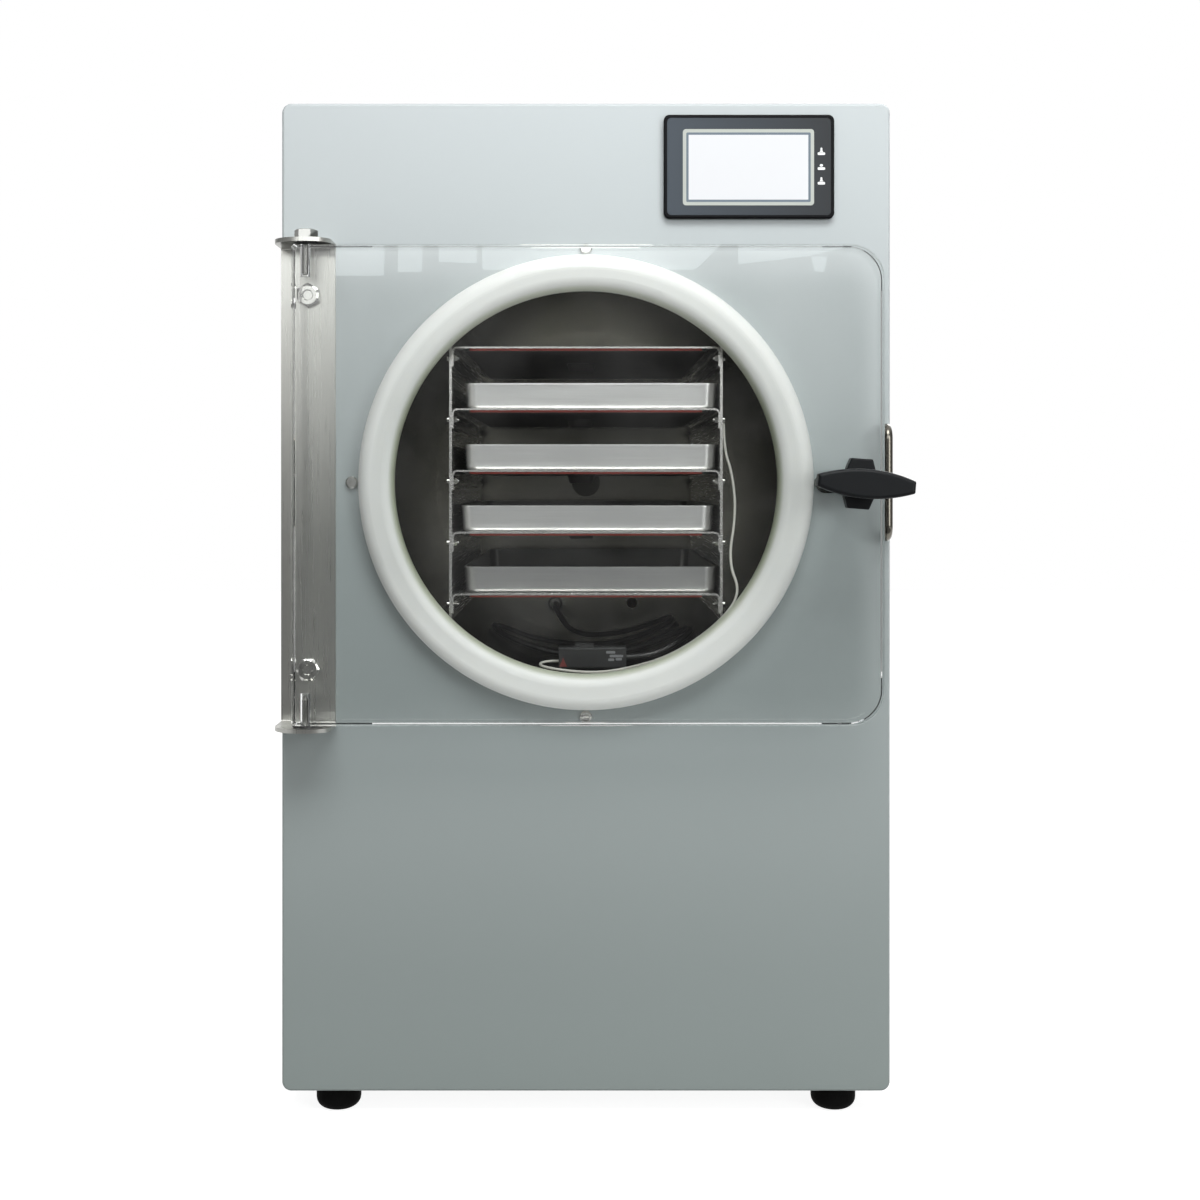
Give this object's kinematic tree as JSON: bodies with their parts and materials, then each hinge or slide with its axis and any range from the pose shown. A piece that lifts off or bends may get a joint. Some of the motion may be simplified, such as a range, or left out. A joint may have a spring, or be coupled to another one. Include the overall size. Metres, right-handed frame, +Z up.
{
  "type": "freeze dryer",
  "caption": "Bench-top freeze dryer: upright painted cabinet, round vacuum chamber with heated shelves and trays, clear acrylic swing door, clamp latch and touch panel.",
  "frame": {"origin": "middle of the footprint, on the surface that the feet stand on", "axes": "+Z up, the front with the door faces -Y, +X to the right as seen from the front"},
  "size_m": [0.4617, 0.6833, 0.762],
  "materials": {
    "cabinet_paint": "satin",
    "bright_steel": "polished",
    "black_rubber": "matte",
    "stainless": "brushed",
    "black_plastic": "matte",
    "drum_steel": "satin",
    "foam": "matte",
    "galvanised": "satin",
    "white_silicone": "satin",
    "display_plastic": "satin",
    "display_glass": "gloss",
    "cable_black": "satin",
    "lead_white": "satin",
    "connector_grey": "matte",
    "compressor_paint": "gloss",
    "fin_aluminium": "satin",
    "copper": "satin",
    "brass": "satin",
    "clear_acrylic": "clear",
    "nylon": "matte",
    "knob_plastic": "satin",
    "heater_red": "matte",
    "tray_steel": "satin"
  },
  "bodies": {
    "cabinet": {"front_panel": "cabinet_paint", "cabinet_wrapper": "cabinet_paint", "base_pan": "cabinet_paint", "rear_panel": "cabinet_paint", "rear_screws": "bright_steel", "rubber_feet": "black_rubber", "hinge_bracket": "stainless", "bracket_bolts": "bright_steel", "hinge_bolts": "bright_steel", "hinge_washers": "black_plastic", "chamber_drum": "drum_steel", "cooling_jacket": "drum_steel", "drum_insulation": "foam", "drum_saddles": "galvanised", "deck_frame": "galvanised", "door_gasket": "white_silicone", "panel_screws": "bright_steel", "latch_keeper": "stainless", "display_case": "display_plastic", "display_screen": "display_glass", "rack_side_left": "stainless", "rack_side_right": "stainless", "shelf_1": "stainless", "shelf_2": "stainless", "shelf_3": "stainless", "shelf_4": "stainless", "shelf_5": "stainless", "heater_mat_1": "heater_red", "heater_mat_2": "heater_red", "heater_mat_3": "heater_red", "heater_mat_4": "heater_red", "heater_mat_5": "heater_red", "tray_1": "tray_steel", "tray_2": "tray_steel", "tray_3": "tray_steel", "tray_4": "tray_steel", "rack_screws": "bright_steel", "harness_cable": "cable_black", "heater_lead": "lead_white", "cable_connector": "connector_grey", "cable_gland": "bright_steel", "compressor": "compressor_paint", "compressor_grommets": "black_rubber", "condenser": "fin_aluminium", "fan_shroud": "black_plastic", "discharge_line": "copper", "suction_line": "copper", "liquid_line": "copper", "vacuum_port": "stainless", "drain_valve": "brass", "power_inlet": "black_plastic", "control_box": "galvanised"},
    "door": {"door_plate": "clear_acrylic", "latch_bushing": "nylon"},
    "latch": {"knob": "knob_plastic", "latch_shaft": "stainless", "latch_arm": "stainless"},
    "fan": {"fan_rotor": "black_plastic"},
    "drain": {"drain_lever": "stainless"},
    "rocker": {"power_rocker": "knob_plastic"}
  },
  "joints": [
    {"name": "door_hinge", "type": "hinge", "parent": "cabinet", "child": "door", "pos_m": [-0.206, -0.2848, 0.4745], "axis": [0, 0, -1], "range_deg": [0, 170]},
    {"name": "latch_turn", "type": "hinge", "parent": "door", "child": "latch", "pos_m": [0.198, -0.2973, 0.4755], "axis": [0, 1, 0], "range_deg": [0, 180]},
    {"name": "fan_spin", "type": "hinge", "parent": "cabinet", "child": "fan", "pos_m": [0.09, 0.2645, 0.136], "axis": [0, 1, 0], "continuous": true},
    {"name": "drain_turn", "type": "hinge", "parent": "cabinet", "child": "drain", "pos_m": [0.045, 0.328, 0.3585], "axis": [-1, 0, 0], "range_deg": [0, 90]},
    {"name": "rocker_tip", "type": "hinge", "parent": "cabinet", "child": "rocker", "pos_m": [-0.16, 0.3, 0.185], "axis": [-1, 0, 0], "range_deg": [0, 16]}
  ]
}
